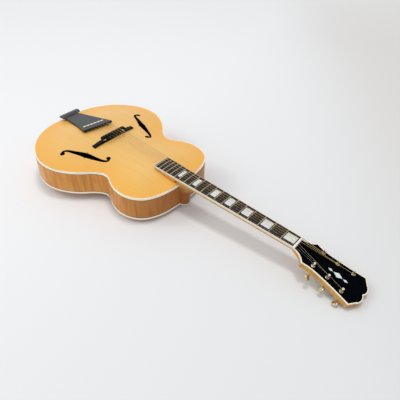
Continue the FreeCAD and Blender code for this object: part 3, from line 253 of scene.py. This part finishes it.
def wood(
    name, tones, grain, flame=None, gloss=0.32, shine=0.3, inside=0, halves=False,
    painted_light=None, painted_tone=PAINTED_SHADE_TONE, shaded_sides=False, purfled=False,
):
    """Wood under lacquer: fine grain, broad tone and, where given, flame across the grain.

    The sign of inside says which way up the bare inner face looks, and that face is darkened as painted
    shade;
    halves gives the two matched boards of a plate slightly different tones. A given mask lays painted
    shade on the rims and heel and painted sheen contrast on the top; steep faces can be darkened as
    painted shade.
    the two matched boards of a plate slightly different tones.
    """
    light, dark, deep = tones
    shade = Shade(name)
    lines = shade.noise(grain, detail=4.0, bend=0.25)
    broad = shade.noise(BROAD_TONE, detail=2.0)
    colour = shade.ramp(lines, (0.30, dark), (0.62, light))
    colour = shade.mix(shade.level(broad, 0.0, 0.55, 0.35, 0.75), colour, deep)
    if halves:
        side = shade.level(shade.part_of(shade.place, "X"), 0.0, 0.22, SEAM_HALF, -SEAM_HALF)
        colour = shade.mix(side, colour, deep)
    rough = shade.level(lines, gloss + 0.05, gloss - 0.03, 0.3, 0.7)
    if flame:
        curl = shade.noise(flame, detail=2.5, bend=0.6)
        stripes = shade.ramp(curl, (0.38, WHITE), (0.60, BLACK))
        colour = shade.mix(shade.level(stripes, 0.0, 0.75), colour, deep)
        rough = shade.level(stripes, gloss - 0.02, gloss + 0.05)
    # Painted light: the given mask lays painted shade on the rims and heel, and painted sheen contrast
    # on the top
    if painted_light:
        colour = shade.mix(painted_light(shade), colour, painted_tone)
    if purfled:
        for level in PURFLING_LEVELS:
            line = shade.calc("COMPARE", shade.height(), level, PURFLING_HALF)
            colour = shade.mix(line, colour, PURFLING)
    upward = shade.part_of(shade.facing, "Z")
    # Steep faces darkened: on the tailpiece this is painted shade on its sides and under its front
    # edge; on the top it darkens the f-holes' walls
    if inside or shaded_sides:
        flat = shade.calc("ABSOLUTE", upward)
        colour = shade.mix(shade.level(flat, 1.0, 0.0, *STEEP_FACE), colour, DARKENED_SIDE_TONE)
    # Bare inner wood, darkened past its own tone as painted shade of the closed body
    if inside:
        limits = [inside * limit for limit in BARE_FACE]
        colour = shade.mix(shade.level(upward, 0.0, 1.0, *limits), colour, SHADED_BARE_WOOD)
    shade.set(Base_Color=colour, Roughness=rough, Specular_IOR_Level=shine)
    shade.set(Normal=shade.bump(lines, strength=0.06, distance=GRAIN_RELIEF))
    return shade.material


# Plastic, metal, pearl and wound wire
PLASTIC_EASE = 0.0005
SCRATCH_RELIEF = 0.0001
WINDING_RELIEF = 0.0002
SMEARS = (700.0, 700.0, 700.0)
TARNISH = (120.0, 120.0, 120.0)
SCRATCHES = (60.0, 60.0, 900.0)
WIRE_WEAR = (40.0, 40.0, 40.0)
WIRE_TURNS = 330.0
PEARL_CELLS = (160, 60, 160)
PEARL_SHEEN = (300, 110, 300)
PEARL_STOPS = (
    (0.25, (0.50, 0.54, 0.52)),
    (0.42, (0.79, 0.79, 0.75)),
    (0.56, (0.66, 0.72, 0.70)),
    (0.68, (0.90, 0.89, 0.86)),
)
BRONZE_STOPS = ((0.3, (0.40, 0.27, 0.13)), (0.7, (0.58, 0.42, 0.22)))


def plastic(name, light, dark, rough, shine, mottle=90.0):
    shade = Shade(name)
    cloud = shade.noise((mottle,) * 3, detail=2.0)
    shade.set(Base_Color=shade.ramp(cloud, (0.3, dark), (0.7, light)))
    shade.set(Roughness=shade.level(shade.noise(SMEARS), rough - 0.05, rough + 0.07))
    shade.set(Specular_IOR_Level=shine, Normal=shade.eased(PLASTIC_EASE))
    return shade.material


def metal(name, light, dark, rough, edge=0.0004):
    shade = Shade(name)
    tarnish = shade.noise(TARNISH, detail=4.0)
    scratches = shade.noise(SCRATCHES, detail=2.0)
    shade.set(Base_Color=shade.ramp(tarnish, (0.32, dark), (0.62, light)), Metallic=1.0)
    shade.set(Roughness=shade.level(scratches, rough - 0.06, rough + 0.1, 0.3, 0.7))
    shade.set(Normal=shade.bump(scratches, strength=0.04, distance=SCRATCH_RELIEF, edge=edge))
    return shade.material


def pearl_material():
    shade = Shade("pearl")
    cells = shade.node("ShaderNodeTexVoronoi", {"Vector": shade.stretched(PEARL_CELLS), "Scale": 1.0})
    sheen = shade.noise(PEARL_SHEEN, detail=5.0, bend=1.6)
    colour = shade.ramp(sheen, *PEARL_STOPS)
    colour = shade.mix(0.12, colour, cells.outputs["Color"], "SOFT_LIGHT")
    shade.set(Base_Color=colour, Roughness=shade.level(sheen, 0.12, 0.28))
    shade.set(Coat_Weight=0.5, Coat_Roughness=0.06)
    return shade.material


def wound_material():
    shade = Shade("wound_bronze")
    inputs = {"Vector": shade.place, "Scale": WIRE_TURNS, "Distortion": 0.0}
    turns = shade.node("ShaderNodeTexWave", inputs, bands_direction="Y")
    wear = shade.noise(WIRE_WEAR)
    shade.set(Base_Color=shade.ramp(wear, *BRONZE_STOPS))
    shade.set(Metallic=0.6, Roughness=shade.level(wear, 0.36, 0.48))
    shade.set(Normal=shade.bump(turns.outputs["Fac"], strength=0.5, distance=WINDING_RELIEF))
    return shade.material


# Tones of the woods: light grain, dark grain and the deep tone of figure and broad bands
SPRUCE = ((0.88, 0.540, 0.165), (0.81, 0.465, 0.119), (0.77, 0.410, 0.088))
MAPLE = ((0.90, 0.460, 0.125), (0.76, 0.345, 0.078), (0.53, 0.200, 0.038))
AMBER = ((0.72, 0.44, 0.135), (0.62, 0.345, 0.090), (0.49, 0.24, 0.055))
BARE_SPRUCE = ((0.34, 0.24, 0.14), (0.26, 0.18, 0.10), (0.22, 0.15, 0.08))
EBONY = ((0.036, 0.024, 0.018), (0.014, 0.010, 0.008), (0.009, 0.007, 0.006))
BRIDGE_EBONY = ((0.012, 0.010, 0.009), (0.006, 0.005, 0.005), (0.004, 0.004, 0.004))
TAILPIECE_EBONY = ((0.056, 0.060, 0.062), (0.038, 0.042, 0.043), (0.046, 0.050, 0.051))
MATERIALS = {
    "spruce_top": wood(
        "spruce_top", SPRUCE, (430, 5, 30), gloss=0.2, shine=0.5, inside=-1, halves=True,
        painted_light=at_the_edge, painted_tone=GOLDEN,
    ),
    "rims": wood(
        "maple_rims", MAPLE, (40, 40, 500), (75, 75, 7), shine=0.2, painted_light=toward_neck, purfled=True,
    ),
    "back": wood("maple_back", MAPLE, (300, 8, 30), (9, 85, 9), inside=1, halves=True),
    "neck": wood("maple_neck", AMBER, (350, 8, 350), (10, 70, 10), shine=0.2, painted_light=round_heel),
    "inner_spruce": wood("bare_spruce", BARE_SPRUCE, (300, 6, 60), gloss=0.65, shine=0.1),
    "ebony": wood("ebony", EBONY, (500, 12, 500), gloss=0.42, shine=0.12),
    "bridge": wood("bridge_ebony", BRIDGE_EBONY, (60, 300, 300), gloss=0.46, shine=0.07),
    # Painted shade on the tailpiece's steep sides and under its front edge
    "tailpiece": wood(
        "tailpiece_ebony", TAILPIECE_EBONY, (420, 10, 420), gloss=0.4, shine=0.34, shaded_sides=True,
    ),
    "cream_binding": plastic("cream_binding", (0.98, 0.92, 0.78), (0.94, 0.86, 0.68), 0.3, 0.3),
    "board_binding": plastic("board_binding", (0.80, 0.735, 0.59), (0.76, 0.68, 0.51), 0.3, 0.3),
    "black_lacquer": plastic(
        "black_lacquer", (0.002, 0.0025, 0.0036), (0.001, 0.0014, 0.002), 0.14, 0.006,
    ),
    "bone": plastic("bone", (0.96, 0.93, 0.87), (0.91, 0.86, 0.76), 0.4, 0.4, 240.0),
    "pearl": pearl_material(),
    "fret_wire": metal("fret_wire", (0.62, 0.54, 0.38), (0.48, 0.41, 0.28), 0.34),
    "rod_steel": metal("rod_steel", (0.42, 0.42, 0.43), (0.30, 0.30, 0.31), 0.45),
    "gold_metal": metal("gold_metal", (0.76, 0.64, 0.42), (0.54, 0.41, 0.24), 0.22, edge=0.0016),
    "post_metal": metal("post_metal", (0.84, 0.80, 0.70), (0.70, 0.64, 0.50), 0.2),
    "black_metal": plastic("black_metal", (0.060, 0.062, 0.064), (0.040, 0.041, 0.043), 0.34, 0.4),
    "nickel": metal("nickel", (0.70, 0.68, 0.63), (0.50, 0.48, 0.43), 0.24),
    "ball_brass": metal("ball_brass", (0.94, 0.90, 0.78), (0.84, 0.78, 0.62), 0.3),
    "wound_bronze": wound_material(),
    "plain_steel": metal("plain_steel", (0.42, 0.37, 0.30), (0.30, 0.27, 0.22), 0.45),
}

# Dress the CAD pieces: by their slots, apart from these
SPECIAL = {
    "back_plate": "back",
    "rim_bass": "rims",
    "rim_treble": "rims",
    "neck": "neck",
    "fingerboard_binding": "board_binding",
    "tailpiece": "tailpiece",
    "bridge_base": "bridge",
    "bridge_saddle": "bridge",
    "thumbwheel_bass": "nickel",
    "thumbwheel_treble": "nickel",
}
STRING_COUNT = 6
for number in range(1, STRING_COUNT + 1):
    SPECIAL[f"tuner_post_{number}"] = "post_metal"
for part in frame["record"]["subparts"]:
    node = NODES[part["node"]]
    node.data.materials.clear()
    node.data.materials.append(MATERIALS[SPECIAL.get(part["node"], part["material_slot"])])


# Mesh tools: points are in millimetres of one of the guitar's frames
SHARP_ANGLE = math.radians(40)
UNITS = ((1, 0, 0), (0, 1, 0), (0, 0, 1))


def frame_matrix(place):
    origin = place(0, 0, 0)
    columns = [place(*axis) - origin for axis in UNITS]
    return Matrix.Translation(origin) @ Matrix(columns).transposed().to_4x4()


BODY_FRAME = frame_matrix(body_point)
NECK_FRAME = frame_matrix(neck_point)
HEAD_FRAME = frame_matrix(head_point)
TAIL_FRAME = frame_matrix(tail_point)


def new_piece(name, mesh_data, place, slot):
    points, faces = mesh_data
    mesh = bpy.data.meshes.new(name)
    mesh.from_pydata([place @ Vector(point) for point in points], [], faces)
    mesh.validate()
    mesh.shade_smooth()
    mesh.set_sharp_from_angle(angle=SHARP_ANGLE)
    mesh.materials.append(MATERIALS[slot])
    made = bpy.data.objects.new(name, mesh)
    bpy.context.scene.collection.objects.link(made)
    return made


def joined(*parts):
    points, faces = [], []
    for part_points, part_faces in parts:
        base = len(points)
        points.extend(part_points)
        faces.extend(tuple(base + index for index in face) for face in part_faces)
    return points, faces


def put(mesh_data, matrix):
    points, faces = mesh_data
    return [matrix @ Vector(point) for point in points], faces


def ring_faces(count, sides, closed=False):
    """The faces between rings of points one after another, with a cap on each open end."""
    faces = []
    for index in range(count if closed else count - 1):
        near = index * sides
        far = (index + 1) % count * sides
        for step in range(sides):
            beside = (step + 1) % sides
            faces.append((near + step, near + beside, far + beside, far + step))
    if not closed:
        faces.append(tuple(reversed(range(sides))))
        faces.append(tuple(range((count - 1) * sides, count * sides)))
    return faces


def tube(path, radius, sides, closed=False):
    """A round tube along a path; its rings turn as little as they can."""
    path = [Vector(point) for point in path]
    count = len(path)
    points = []
    side_way = None
    for index, point in enumerate(path):
        before = path[index - 1] if index or closed else point
        after = path[(index + 1) % count] if index + 1 < count or closed else point
        way = (after - before).normalized()
        if side_way is None:
            side_way = way.orthogonal()
        side_way = (side_way - way * side_way.dot(way)).normalized()
        other = way.cross(side_way)
        for step in range(sides):
            angle = 2 * math.pi * step / sides
            points.append(point + radius * (math.cos(angle) * side_way + math.sin(angle) * other))
    return points, ring_faces(count, sides, closed)


def lathe(profile, sides):
    """A turned form: the profile's radius and height, closed at both ends."""
    points = []
    for radius, height in profile:
        for step in range(sides):
            angle = 2 * math.pi * step / sides
            points.append(Vector((radius * math.cos(angle), radius * math.sin(angle), height)))
    return points, ring_faces(len(profile), sides)


def runs(start, stop, count):
    start, stop = Vector(start), Vector(stop)
    return [start.lerp(stop, step / count) for step in range(count + 1)]


# Strings: from the ball end over saddle and nut to the post
STRING_SIZES = (1.32, 1.07, 0.81, 0.61, 0.43, 0.33)
WOUND_COUNT = 4
NUT_SPREAD = 36.0
NUT_CREST = 1.2
NUT_LIFT = 1.7
SADDLE_SPREAD = 52.0
SADDLE_LEVEL = 38.2
BALL_SPREAD = 58.0
BALL_SINK = 2.5
TAIL_LENGTH = 151.5
TAIL_SLANT = 10.0
TAIL_FRONT_HALF = 48.5
SLOT_FROM_FRONT = 23.0
POST_RADIUS = 3.0
POST_LEVEL = 5.0
BUSH_FLANGE = 1.5
STRING_SIDES = 10
TAIL_STEPS = 10
SCALE_STEPS = 30
HEAD_STEPS = 3
# Each post's side of the head and its place across and along it
POSTS = {
    6: (-1, -26.508, 57.224),
    5: (-1, -27.011, 98.256),
    4: (-1, -33.299, 140.024),
    1: (1, 26.508, 57.224),
    2: (1, 27.011, 98.256),
    3: (1, 33.299, 140.024),
}
# Windings: their gap to the post, and pitch and end room as shares of the string's radius
WRAP_AIR = 0.1
WRAP_PITCH_SHARE = 2.15
WRAP_ROOM_SHARE = 2.5
WRAP_STEPS = 24
WRAP_SIDES = 8
MOST_TURNS = 5
TO_BODY = BODY_FRAME.inverted()


def on_body(point):
    return TO_BODY @ point


def string_share(index):
    """Where a string lies across the row of six, from -0.5 to 0.5."""
    return index / (STRING_COUNT - 1) - 0.5


def slot_y(x):
    """The middle of the tailpiece's slanted slot."""
    return TAIL_LENGTH - SLOT_FROM_FRONT - TAIL_SLANT * x / TAIL_FRONT_HALF


def crown_drop(x):
    return BOARD_RADIUS - math.sqrt(BOARD_RADIUS**2 - x**2)


def string_stations(index, radius):
    share = string_share(index)
    nut_x, saddle_x, ball_x = NUT_SPREAD * share, SADDLE_SPREAD * share, BALL_SPREAD * share
    ball = on_body(tail_point(ball_x, slot_y(ball_x), -BALL_SINK))
    saddle = Vector((saddle_x, BRIDGE_Y, SADDLE_LEVEL - crown_drop(saddle_x)))
    nut = on_body(neck_point(nut_x, NUT_CREST, NUT_LIFT + radius - crown_drop(nut_x)))
    side, post_x, post_y = POSTS[STRING_COUNT - index]
    beside = post_x - side * (POST_RADIUS + WRAP_AIR + radius)
    post = on_body(head_point(beside, post_y, POST_LEVEL))
    return ball, saddle, nut, post


def wrapped(number, radius):
    """A ring where the string meets its post, and the turns below it."""
    side, post_x, post_y = POSTS[number]
    reach = POST_RADIUS + WRAP_AIR + radius
    pitch = WRAP_PITCH_SHARE * radius
    room = POST_LEVEL - BUSH_FLANGE - WRAP_ROOM_SHARE * radius
    turns = min(MOST_TURNS, int(room / pitch))
    start = 0 if side < 0 else math.pi

    def wrap_point(step, depth):
        angle = start - side * 2 * math.pi * step / WRAP_STEPS
        return (post_x + reach * math.cos(angle), post_y + reach * math.sin(angle), POST_LEVEL - depth)

    ring = [wrap_point(step, 0) for step in range(WRAP_STEPS)]
    coil = []
    for step in range(-WRAP_STEPS // 4, WRAP_STEPS * (turns - 1) + 1):
        coil.append(wrap_point(step, pitch * (1 + step / WRAP_STEPS)))
    return joined(tube(ring, radius, WRAP_SIDES, True), tube(coil, radius, WRAP_SIDES))


def string_run(name, start, stop, steps, radius, slot):
    return new_piece(name, tube(runs(start, stop, steps), radius, STRING_SIDES), BODY_FRAME, slot)


for index, size in enumerate(STRING_SIZES):
    radius = size / 2
    number = STRING_COUNT - index
    ball, saddle_spot, nut_spot, post_spot = string_stations(index, radius)
    wound = index < WOUND_COUNT
    slot = "wound_bronze" if wound else "plain_steel"
    node = "wound_strings" if wound else "plain_strings"
    tail_run = string_run(f"string_{number}_tail", ball, saddle_spot, TAIL_STEPS, radius, slot)
    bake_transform(tail_run)
    long_run = string_run(f"string_{number}_scale", saddle_spot, nut_spot, SCALE_STEPS, radius, slot)
    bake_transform(long_run)
    head_run = string_run(f"string_{number}_head", nut_spot, post_spot, HEAD_STEPS, radius, slot)
    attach(head_run, BODY)
    for run in (tail_run, long_run, head_run):
        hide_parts(node)
    windings = new_piece(f"string_{number}_windings", wrapped(number, radius), HEAD_FRAME, slot)
    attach(windings, f"post_{number}")


# Screws: round slotted heads, each turned a little further than the last
SCREW_SIDES = 20
SCREW_ARC = 78
SCREW_ARC_STEPS = 8
SCREW_SHOULDER_SHARE = 0.6
SCREW_RIM_SHARES = ((1, 0), (1, 0.45), (0.93, SCREW_SHOULDER_SHARE))
SCREW_DOME_SHARE = 0.9
SCREW_CROWN_SHARE = 0.72
SCREW_SLOT_SHARE = 0.08
TUNER_SCREW = (2.3, 1.2)
TUNER_SCREW_BEHIND = 10.6
TUNER_SCREW_TWIST = 0.7
HEAD_BACK = -18.0
BRACKET_SCREW = (2.6, 1.3)
BRACKET_SCREW_SPOTS = ((-9.0, -21.0), (9.0, -21.0), (-9.0, -52.0), (9.0, -52.0))
BRACKET_SCREW_TWIST = 0.9
BRACKET_FACE = 1.65


def half_dome(side, radius, rise):
    """One half of a screw's crown, beside its slot."""
    low, high = [], []
    dome = radius * SCREW_DOME_SHARE
    for step in range(SCREW_ARC_STEPS + 1):
        angle = math.radians(-SCREW_ARC + 2 * SCREW_ARC * step / SCREW_ARC_STEPS)
        x, y = side * dome * math.cos(angle), dome * math.sin(angle)
        low.append(Vector((x, y, rise * SCREW_SHOULDER_SHARE)))
        inward = x * SCREW_CROWN_SHARE + side * radius * SCREW_SLOT_SHARE
        high.append(Vector((inward, y * SCREW_CROWN_SHARE, rise)))
    count = len(low)
    faces = []
    for index in range(count):
        beside = (index + 1) % count
        faces.append((index, beside, count + beside, count + index))
    faces.append(tuple(range(count, 2 * count)))
    if side < 0:
        faces = [tuple(reversed(face)) for face in faces]
    return low + high, faces


def screw_head(radius, rise):
    base = lathe([(radius * across, rise * up) for across, up in SCREW_RIM_SHARES], SCREW_SIDES)
    return joined(base, half_dome(-1, radius, rise), half_dome(1, radius, rise))


def turned(angle, axis):
    return Matrix.Rotation(angle, 4, axis)


for number, (side, post_x, post_y) in POSTS.items():
    spot = Matrix.Translation((post_x, post_y - TUNER_SCREW_BEHIND, HEAD_BACK))
    stand = spot @ turned(math.pi, "X") @ turned(TUNER_SCREW_TWIST * number, "Z")
    head = put(screw_head(*TUNER_SCREW), stand)
    screw = new_piece(f"tuner_screw_{number}", head, HEAD_FRAME, "gold_metal")
    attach(screw, BODY)
for number, (x, z) in enumerate(BRACKET_SCREW_SPOTS, 1):
    spot = Matrix.Translation((x, TAIL_Y - BRACKET_FACE, z))
    stand = spot @ turned(math.pi / 2, "X") @ turned(BRACKET_SCREW_TWIST * number, "Z")
    head = put(screw_head(*BRACKET_SCREW), stand)
    screw = new_piece(f"bracket_screw_{number}", head, BODY_FRAME, "nickel")
    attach(screw, BODY)


# Side dots on the bass edge of the fingerboard: fret, and shift from the middle of its space
NUT_HALF = 21.5
BOARD_END_HALF = 28.75
BOARD_TAIL = 5.6
BOARD_END_Y = fret_y(LAST_FRET) - BOARD_TAIL
DOT_FRETS = ((3, 0), (5, 0), (7, 0), (9, 0), (12, -6), (12, 6), (15, 0), (17, 0))
DOT_LEVEL = -3.4
DOT_PROFILE = ((1.1, -0.4), (1.1, 0.02), (0.9, 0.08))
DOT_SIDES = 16

for number, (fret, shift) in enumerate(DOT_FRETS, 1):
    dot_y = (fret_y(fret) + fret_y(fret - 1)) / 2 + shift
    edge = NUT_HALF + (BOARD_END_HALF - NUT_HALF) * dot_y / BOARD_END_Y
    stand = Matrix.Translation((-edge, dot_y, DOT_LEVEL)) @ turned(-math.pi / 2, "Y")
    dot = put(lathe(DOT_PROFILE, DOT_SIDES), stand)
    side_dot = new_piece(f"side_dot_{number}", dot, NECK_FRAME, "black_metal")
    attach(side_dot, BODY)


# Pale seats along the tailpiece's slot, one plate for each string
SEAT_HALF = 4.6
SEAT_REAR, SEAT_FRONT = -2.7, 2.2
SEAT_LOW, SEAT_HIGH = -0.35, 0.5
SEAT_SECTION = (
    (SEAT_REAR, SEAT_LOW),
    (SEAT_FRONT, SEAT_LOW),
    (SEAT_FRONT, SEAT_HIGH),
    (SEAT_REAR, SEAT_HIGH),
)
SEAT_FACES = [(3, 2, 1, 0), (4, 5, 6, 7), (0, 1, 5, 4), (1, 2, 6, 5), (2, 3, 7, 6), (3, 0, 4, 7)]

for index in range(STRING_COUNT):
    middle = BALL_SPREAD * string_share(index)
    seat_points = []
    for x in (middle - SEAT_HALF, middle + SEAT_HALF):
        seat_points.extend((x, slot_y(x) + y, z) for y, z in SEAT_SECTION)
    seat_name = f"tailpiece_seat_{STRING_COUNT - index}"
    seat = new_piece(seat_name, (seat_points, SEAT_FACES), TAIL_FRAME, "bone")
    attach(seat, BODY)


# Floor: pale paper, with painted shade toward the head and to one side
SKY_SHOWN = (0.87, 0.875, 0.88, 1)
TAIL_SIDE = Vector((0.63, -0.77, 0.0))
HEAD_SIDE = Vector((-0.21, 0.977, 0.0))
DIM_SIDE = Vector((-0.6, 0.8, 0.0))
PAPER_STOPS = ((0.3, (0.835, 0.835, 0.835)), (0.7, (0.855, 0.855, 0.853)))
PAPER_DRIFT = (0.5, 0.5, 0.5)
PAPER_HEAD_SHADE = (0.755, 0.755, 0.75)
PAPER_SIDE_SHADE = (0.92, 0.89, 0.865)
HEAD_SHADE_REACH = (-0.35, 0.6)
SIDE_SHADE_REACH = (0.33, 0.85)
FADE_REACH = (1.7, 4.5)
FLOOR_HALF = 14.0
FLOOR_DROP = 0.0004
FLOOR_CORNERS = ((-1, -1), (1, -1), (1, 1), (-1, 1))


def seen_rays(tree):
    """One for a ray that the eye, a shiny face or a clear body sends out, and nought for light."""
    rays = tree.nodes.new("ShaderNodeLightPath").outputs
    seen = rays["Is Camera Ray"]
    for kind in ("Is Glossy Ray", "Is Transmission Ray"):
        either = tree.nodes.new("ShaderNodeMath")
        either.operation = "MAXIMUM"
        tree.links.new(seen, either.inputs[0])
        tree.links.new(rays[kind], either.inputs[1])
        seen = either.outputs["Value"]
    return seen


def floor_material():
    shade = Shade("floor")
    paper = shade.ramp(shade.noise(PAPER_DRIFT, detail=2.0), *PAPER_STOPS)
    # Painted shade: the paper darker toward the head
    head_shade = shade.level(shade.along(HEAD_SIDE), 0.0, 1.0, *HEAD_SHADE_REACH)
    paper = shade.mix(head_shade, paper, PAPER_HEAD_SHADE)
    # Painted shade: a soft painted shadow on the paper toward the head's far side
    side_shade = shade.level(shade.along(DIM_SIDE), 0.0, 1.0, *SIDE_SHADE_REACH, "SMOOTHSTEP")
    paper = shade.mix(side_shade, paper, PAPER_SIDE_SHADE, "MULTIPLY")
    shade.set(Base_Color=paper, Roughness=0.9, Specular_IOR_Level=0.1)
    # Far off, the eye sees the floor run into the wall's colour
    afar = shade.node("ShaderNodeVectorMath", {0: shade.place}, operation="LENGTH").outputs["Value"]
    fade = shade.calc("MULTIPLY", shade.level(afar, 0.0, 1.0, *FADE_REACH), seen_rays(shade.tree))
    wall = shade.node("ShaderNodeEmission", {"Color": SKY_SHOWN}).outputs["Emission"]
    inputs = {0: fade, 1: shade.shader.outputs["BSDF"], 2: wall}
    ends = shade.node("ShaderNodeMixShader", inputs).outputs["Shader"]
    shade.feed(shade.tree.nodes["Material Output"].inputs["Surface"], ends)
    return shade.material


floor_mesh = bpy.data.meshes.new("floor")
floor_points = [(x * FLOOR_HALF, y * FLOOR_HALF, 0) for x, y in FLOOR_CORNERS]
floor_mesh.from_pydata(floor_points, [], [(0, 1, 2, 3)])
floor_mesh.materials.append(floor_material())
floor = bpy.data.objects.new("floor", floor_mesh)
floor.location.z = -FLOOR_DROP
bpy.context.scene.collection.objects.link(floor)


# Light: soft from all round, and two lamps
SKY_COLOUR = (0.96, 0.985, 1.02, 1)
SKY_LIT = (0.45, 0.97)
# Each lamp's place, aim, size, power and colour
LAMPS = {
    "overhead": ((-0.4, 0.1, 5.0), (0, 0, 0), 1.1, 66, WHITE),
    "tail_side": ((2.2, -3.4, 3.6), (0, -0.2, 0), 2.4, 48, (1.0, 0.99, 0.975)),
}


def studio_world():
    """Soft light, stronger from the tail; the eye and gloss see a plain pale wall."""
    world = bpy.data.worlds.new("studio")
    bpy.context.scene.world = world
    world.use_nodes = True
    tree = world.node_tree
    lit = tree.nodes["Background"]
    lit.inputs["Color"].default_value = SKY_COLOUR
    shown = tree.nodes.new("ShaderNodeBackground")
    shown.inputs["Color"].default_value = SKY_SHOWN
    way = tree.nodes.new("ShaderNodeVectorMath")
    way.operation = "DOT_PRODUCT"
    way.inputs[1].default_value = TAIL_SIDE
    tree.links.new(tree.nodes.new("ShaderNodeTexCoord").outputs["Generated"], way.inputs[0])
    strength = tree.nodes.new("ShaderNodeMapRange")
    for key, value in zip(("From Min", "From Max", "To Min", "To Max"), (-1, 1, *SKY_LIT)):
        strength.inputs[key].default_value = value
    tree.links.new(way.outputs["Value"], strength.inputs["Value"])
    tree.links.new(strength.outputs["Result"], lit.inputs["Strength"])
    mixed = tree.nodes.new("ShaderNodeMixShader")
    tree.links.new(seen_rays(tree), mixed.inputs["Fac"])
    tree.links.new(lit.outputs["Background"], mixed.inputs[1])
    tree.links.new(shown.outputs["Background"], mixed.inputs[2])
    tree.links.new(mixed.outputs["Shader"], tree.nodes["World Output"].inputs["Surface"])


def area_light(name, spot, aim, size, power, colour):
    lamp = bpy.data.lights.new(name, "AREA")
    lamp.shape = "DISK"
    lamp.size = size
    lamp.energy = power
    lamp.color = colour
    made = bpy.data.objects.new(name, lamp)
    made.location = spot
    made.rotation_euler = (Vector(aim) - Vector(spot)).to_track_quat("-Z", "Y").to_euler()
    bpy.context.scene.collection.objects.link(made)


studio_world()
for name, settings in LAMPS.items():
    area_light(name, *settings)


# Camera: its place and ways in the guitar's own frame
CAMERA_SPOT = (740.16, 258.57, 762.49)
CAMERA_AHEAD = (-0.60464, -0.45731, -0.65213)
CAMERA_RIGHT = (-0.63342, 0.77246, 0.04560)
CAMERA_LENS = 39.555
SENSOR_WIDTH = 36.0
CAMERA_REACH = 60.0

ahead = Vector(tipped(CAMERA_AHEAD, -LAY_TILT)).normalized()
right = Vector(tipped(CAMERA_RIGHT, -LAY_TILT))
right = (right - ahead * right.dot(ahead)).normalized()
turn = Matrix((right, right.cross(ahead), -ahead)).transposed().to_4x4()
camera = bpy.data.objects.new("camera", bpy.data.cameras.new("camera"))
camera.data.sensor_width = SENSOR_WIDTH
camera.data.lens = CAMERA_LENS
camera.data.clip_end = CAMERA_REACH
camera.matrix_world = Matrix.Translation(body_point(*CAMERA_SPOT)) @ turn
bpy.context.scene.collection.objects.link(camera)
bpy.context.scene.camera = camera
bpy.context.scene.view_settings.view_transform = "Standard"

bpy.context.view_layer.update()
